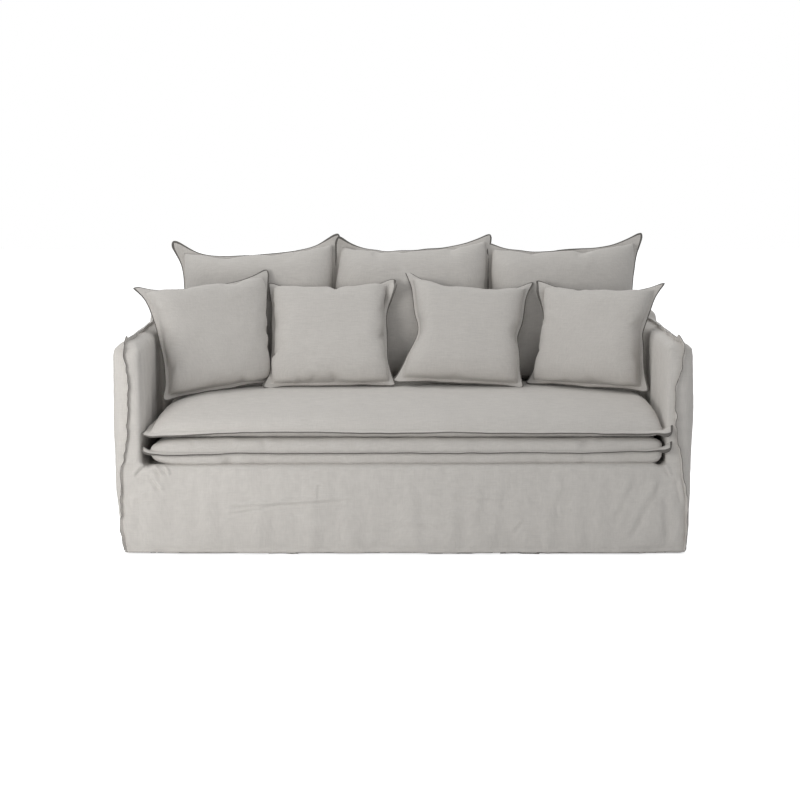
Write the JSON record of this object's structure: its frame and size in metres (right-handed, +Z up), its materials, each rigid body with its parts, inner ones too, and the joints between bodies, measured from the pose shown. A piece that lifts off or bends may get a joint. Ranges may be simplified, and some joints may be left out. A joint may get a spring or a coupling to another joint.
{
  "type": "slipcovered sofa",
  "caption": "Low upholstered sofa in a loose floor-length linen slipcover, with bench seat cushions, large back cushions and loose scatter cushions.",
  "frame": {"origin": "on the floor at the centre of the footprint", "axes": "+Z up, front of the sofa faces -Y, +X to the right in a front view, along the seat"},
  "size_m": [1.84, 0.9, 0.9821],
  "materials": {
    "linen": "matte woven linen, warm light grey",
    "filling": "matte downproof cotton",
    "foam": "matte foam with fibre wrap",
    "felt": "matte needled felt",
    "webbing": "matte elastic webbing",
    "timber": "planed, unfinished",
    "board": "smooth fibreboard",
    "foot_wood": "satin stained",
    "glide": "matte",
    "fastener": "zinc plated",
    "spring_wire": "oiled wire"
  },
  "bodies": {
    "base": {"front_rail": "timber", "back_rail": "timber", "seat_braces": "timber", "frame_blocks": "timber", "side_rail_right": "timber", "side_rail_left": "timber", "front_post_right": "timber", "front_post_left": "timber", "rear_post_right": "timber", "rear_post_left": "timber", "arm_rail_right": "timber", "arm_rail_left": "timber", "back_uprights": "timber", "back_top_rail": "timber", "arm_boards_right": "board", "arm_boards_left": "board", "rear_board": "board", "feet": "foot_wood", "foot_glides": "glide", "foot_bolts": "fastener", "post_bolts": "fastener", "seat_springs": "spring_wire", "spring_clips": "spring_wire", "spring_insulator": "felt", "dust_cover": "felt", "back_webbing": "webbing", "arm_foam_right": "foam", "arm_foam_left": "foam", "back_foam": "foam", "deck_foam": "foam", "front_pad": "foam", "cover_arm_right": "linen", "cover_arm_left": "linen", "cover_back": "linen", "cover_deck": "linen", "cover_front_skirt": "linen", "arm_seam_right": "linen", "arm_seam_left": "linen"},
    "seat_cushion_lower": {"seat_cushion_lower_cover": "linen", "seat_cushion_lower_insert": "filling"},
    "seat_cushion_upper": {"seat_cushion_upper_cover": "linen", "seat_cushion_upper_insert": "filling"},
    "back_cushion_left": {"back_cushion_left_cover": "linen", "back_cushion_left_insert": "filling"},
    "back_cushion_centre": {"back_cushion_centre_cover": "linen", "back_cushion_centre_insert": "filling"},
    "back_cushion_right": {"back_cushion_right_cover": "linen", "back_cushion_right_insert": "filling"},
    "scatter_cushion_1": {"scatter_cushion_1_cover": "linen", "scatter_cushion_1_insert": "filling"},
    "scatter_cushion_2": {"scatter_cushion_2_cover": "linen", "scatter_cushion_2_insert": "filling"},
    "scatter_cushion_3": {"scatter_cushion_3_cover": "linen", "scatter_cushion_3_insert": "filling"},
    "scatter_cushion_4": {"scatter_cushion_4_cover": "linen", "scatter_cushion_4_insert": "filling"}
  },
  "joints": [
    {"name": "lower_cushion_lift", "type": "slide", "parent": "base", "child": "seat_cushion_lower", "axis": [0, 0, 1], "range_m": [0, 0.3]},
    {"name": "upper_cushion_lift", "type": "slide", "parent": "seat_cushion_lower", "child": "seat_cushion_upper", "axis": [0, 0, 1], "range_m": [0, 0.3]},
    {"name": "back_cushion_left_lift", "type": "slide", "parent": "seat_cushion_upper", "child": "back_cushion_left", "axis": [0, 0.1564, 0.9877], "range_m": [0, 0.5]},
    {"name": "back_cushion_centre_lift", "type": "slide", "parent": "seat_cushion_upper", "child": "back_cushion_centre", "axis": [0, 0.1564, 0.9877], "range_m": [0, 0.5]},
    {"name": "back_cushion_right_lift", "type": "slide", "parent": "seat_cushion_upper", "child": "back_cushion_right", "axis": [0, 0.1564, 0.9877], "range_m": [0, 0.5]},
    {"name": "scatter_cushion_1_lift", "type": "slide", "parent": "seat_cushion_upper", "child": "scatter_cushion_1", "axis": [0, 0, 1], "range_m": [0, 0.4]},
    {"name": "scatter_cushion_2_lift", "type": "slide", "parent": "seat_cushion_upper", "child": "scatter_cushion_2", "axis": [0, 0, 1], "range_m": [0, 0.4]},
    {"name": "scatter_cushion_3_lift", "type": "slide", "parent": "seat_cushion_upper", "child": "scatter_cushion_3", "axis": [0, 0, 1], "range_m": [0, 0.4]},
    {"name": "scatter_cushion_4_lift", "type": "slide", "parent": "seat_cushion_upper", "child": "scatter_cushion_4", "axis": [0, 0, 1], "range_m": [0, 0.4]}
  ]
}
